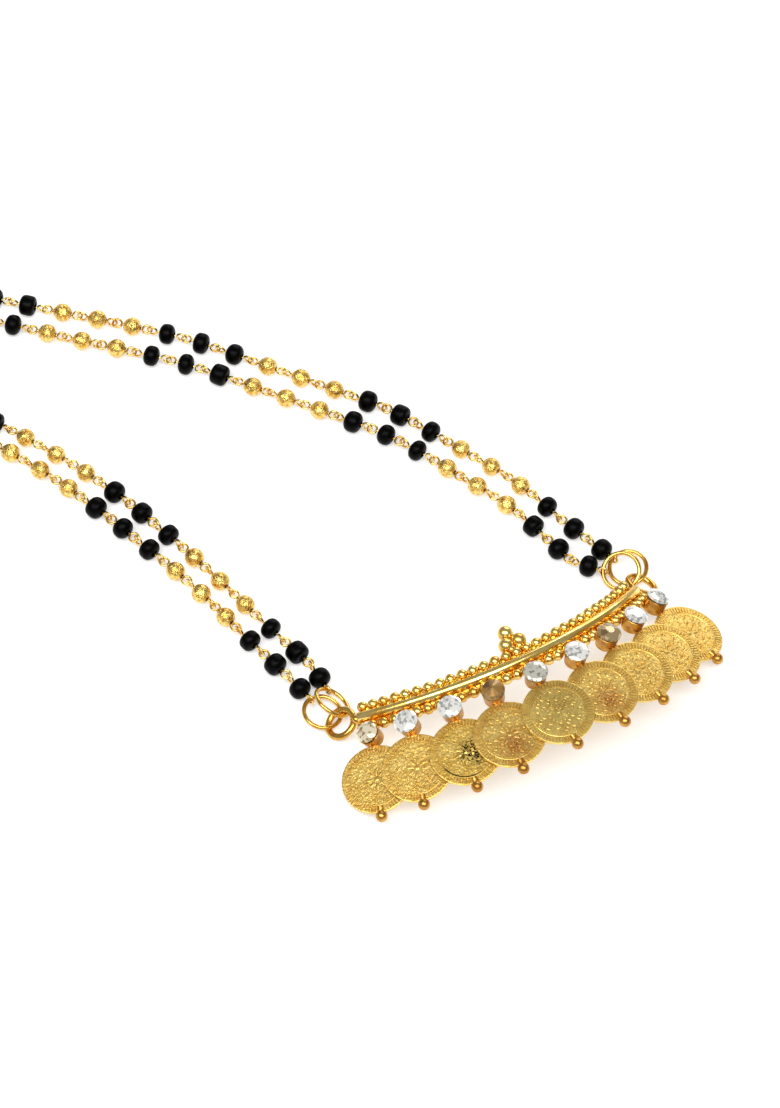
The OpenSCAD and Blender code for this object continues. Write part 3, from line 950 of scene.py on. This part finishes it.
def bead_place(ends, k):
    """The middle of pin k, with Z along the pin."""
    along = ends[k + 1] - ends[k]
    middle = (ends[k] + ends[k + 1]) / 2
    heading = math.degrees(math.atan2(along.y, along.x))
    place = shift(middle.x - MIDDLE.x, middle.y - MIDDLE.y, STRAND_HEIGHT)
    return place @ turn(heading, "Z") @ turn(90, "Y")


def is_black(k):
    """Whether pin k carries a black bead: threes take turns, and black comes first."""
    return (k // 3) % 2 == 0


print("pins:", {name: len(ends) - 1 for name, ends in STRANDS.items()})

# %% [markdown]
# ## Eye pins
#
# Each bead is threaded on its own short wire, whose two ends are bent into loops. The loops of
# neighbouring pins are linked directly, one lying nearly flat and the next standing up, each a few
# degrees off as in the solids. One loop is turned once and stamped at both ends of every pin, and a thin
# cylinder is the wire through the bead.

# %% Make the eye pins
PIN_WIRE = 0.38
STEM_RADIUS = 0.17
LOOP_RADIUS = 0.74
LINKED_LOOPS_APART = 0.86
eye_loop = wire_ring(LOOP_RADIUS, PIN_WIRE, 32, 10)
for strand, ends in STRANDS.items():
    pins = bmesh.new()
    for k in range(len(ends) - 1):
        eye = (ends[k + 1] - ends[k]).length / 2 - LINKED_LOOPS_APART / 2
        tilt = (90 if k % 2 == 0 else 0) + 10 * math.sin(math.radians(137 * k + 30))
        place = bead_place(ends, k) @ turn(-90, "Y") @ turn(tilt, "X")
        for side in (-1, 1):
            stamp(pins, eye_loop, place @ shift(side * eye))
        bmesh.ops.create_cone(
            pins, cap_ends=True, segments=12, radius1=STEM_RADIUS, radius2=STEM_RADIUS,
            depth=2 * (eye - LOOP_RADIUS), matrix=place @ turn(90, "Y"),
        )
    piece = finish_piece(f"{strand}_eye_pins", pins, wire_gold, sharp=50)
    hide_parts(f"{strand}_pins")

# %% [markdown]
# ## Gold beads
#
# A gold bead is a hollow ball, a little longer than wide, with a hole at each end. The section runs from
# inside one hole, over the ball and into the other. Vertices close to a hole get a number in the
# near_hole attribute, up to 1 at its edge, which the brushed finish reads to paint shade there.

# %% Make the gold beads
GOLD_RADIUS = 1.49
BORE_RADIUS = 0.3
gold_section = [(BORE_RADIUS, 0.9), (BORE_RADIUS, 1.38)]
for step in range(13):
    angle = math.radians(12 + 13 * step)
    gold_section.append((GOLD_RADIUS * math.sin(angle), 1.03 * GOLD_RADIUS * math.cos(angle)))
gold_section += [(BORE_RADIUS, -1.38), (BORE_RADIUS, -0.9)]
gold_bead = turned(gold_section, 24)
# The near_hole number marks where the brushed finish paints shade in and around the hole.
dark = gold_bead.verts.layers.float.new("near_hole")
for v in gold_bead.verts:
    v[dark] = max(0.0, min(1.0, (0.62 - v.co.xy.length) / 0.3))
for strand, ends in STRANDS.items():
    beads = bmesh.new()
    beads.verts.layers.float.new("near_hole")
    for k in range(len(ends) - 1):
        if not is_black(k):
            shape = scaled(
                chance.uniform(0.97, 1.01), chance.uniform(0.97, 1.01), chance.uniform(0.97, 1.03))
            stamp(beads, gold_bead, bead_place(ends, k) @ turn(chance.uniform(0, 360), "Z") @ shape)
    piece = finish_piece(f"{strand}_brushed_beads", beads, brushed_gold, sharp=60)
    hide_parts(f"{strand}_gold_beads")

# %% [markdown]
# ## Black beads
#
# A black bead is a short length of glass tube with melted edges. Some melted almost to a ball and others
# stayed barrels, so the section is a curve between a circle and a box: the fuller its exponent, the
# straighter its side. It starts and ends inside the hole, and is spun round the pin's line. The girths
# and lengths repeat those of the solids.

# %% Make the black beads
BLACK_RADIUS = 1.76
BLACK_HALF_LENGTH = 1.42


def glass_bead(radius, half, fullness):
    """A bead along the Z axis, from its radius, half its length and how full its side is."""
    section = [(0.32, half - 0.55)]
    for step in range(12):
        angle = math.radians(14 + step * 152 / 11)
        across = math.sin(angle) ** (2 / fullness)
        along = math.copysign(abs(math.cos(angle)) ** (2 / fullness), math.cos(angle))
        section.append((radius * across, half * along))
    section.append((0.32, 0.55 - half))
    return turned(section, 24)


for strand, ends in STRANDS.items():
    beads = bmesh.new()
    for k in range(len(ends) - 1):
        if is_black(k):
            radius = BLACK_RADIUS * (0.97 + 0.03 * math.sin(math.radians(151 * k)))
            half = BLACK_HALF_LENGTH * (0.92 + 0.08 * math.sin(math.radians(97 * k + 50)))
            bead = glass_bead(radius, half, chance.choice((2.4, 2.6, 2.9, 3.6)))
            askew = turn(chance.uniform(-4, 4), "X") @ turn(chance.uniform(-4, 4), "Y")
            stamp(beads, bead, bead_place(ends, k) @ askew)
            bead.free()
    piece = finish_piece(f"{strand}_glass_beads", beads, black_glass, sharp=60)
    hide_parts(f"{strand}_black_beads")

# %% [markdown]
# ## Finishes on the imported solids
#
# The clasp's ring and hook already have the right shape, so they keep their solids and only take on the
# rings' finish. Assigning to the material slot is enough; the mesh isn't touched.

# %% Finish the clasp
for name in ("clasp_ring", "clasp_hook"):
    clasp_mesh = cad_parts[name].data
    clasp_mesh.materials.clear()
    clasp_mesh.materials.append(ring_gold)
    print(name, "takes", ring_gold.name)

# %% [markdown]
# ## Table and light
#
# The picture has a pure white ground and almost no shadow, as in a light tent. A large white plane is
# the table. It glows a little, as card on a light box does, which keeps the shadows under the coins
# faint. Gold only looks like gold when it has bright and dark things to mirror, so the light is one broad
# panel above the front, a weaker one behind, and a dim surround that leaves the rest of what the gold
# mirrors darker. The standard view shows colours as they are: a film-like one would wash the gold out.

# %% Make the table
ground = bmesh.new()
bmesh.ops.create_grid(ground, x_segments=1, y_segments=1, size=2.0)
ground_mesh = bpy.data.meshes.new("table")
ground.to_mesh(ground_mesh)
ground.free()
table, tree, shader = new_finish("white_card")
shader.inputs["Base Color"].default_value = linear("#e2e2e2")
shader.inputs["Roughness"].default_value = 0.9
shader.inputs["Specular IOR Level"].default_value = 0.1
shader.inputs["Emission Color"].default_value = linear("#ffffff")
shader.inputs["Emission Strength"].default_value = 0.4
ground_mesh.materials.append(table)
ground_object = bpy.data.objects.new("table", ground_mesh)
bpy.context.scene.collection.objects.link(ground_object)
print("table ready")


# %% Hang the lights
def panel(name, place, size, watts, look_at=(0.01, -0.05, 0.0)):
    """A rectangular light, in metres, that faces the necklace."""
    data = bpy.data.lights.new(name, "AREA")
    data.shape = "RECTANGLE"
    data.size, data.size_y = size
    data.energy = watts
    lamp = bpy.data.objects.new(name, data)
    lamp.location = place
    lamp.rotation_mode = "QUATERNION"
    lamp.rotation_quaternion = (Vector(place) - Vector(look_at)).to_track_quat("Z", "Y")
    bpy.context.scene.collection.objects.link(lamp)


panel("front_panel", (-0.2, -0.3, 0.8), (1.1, 0.4), 8)
panel("back_panel", (0.6, 0.5, 0.42), (0.6, 0.4), 2.2)
world = bpy.data.worlds.new("light_tent")
world.use_nodes = True
world.node_tree.nodes["Background"].inputs["Color"].default_value = linear("#f6f5f2")
world.node_tree.nodes["Background"].inputs["Strength"].default_value = 0.36
bpy.context.scene.world = world
bpy.context.scene.view_settings.view_transform = "Standard"
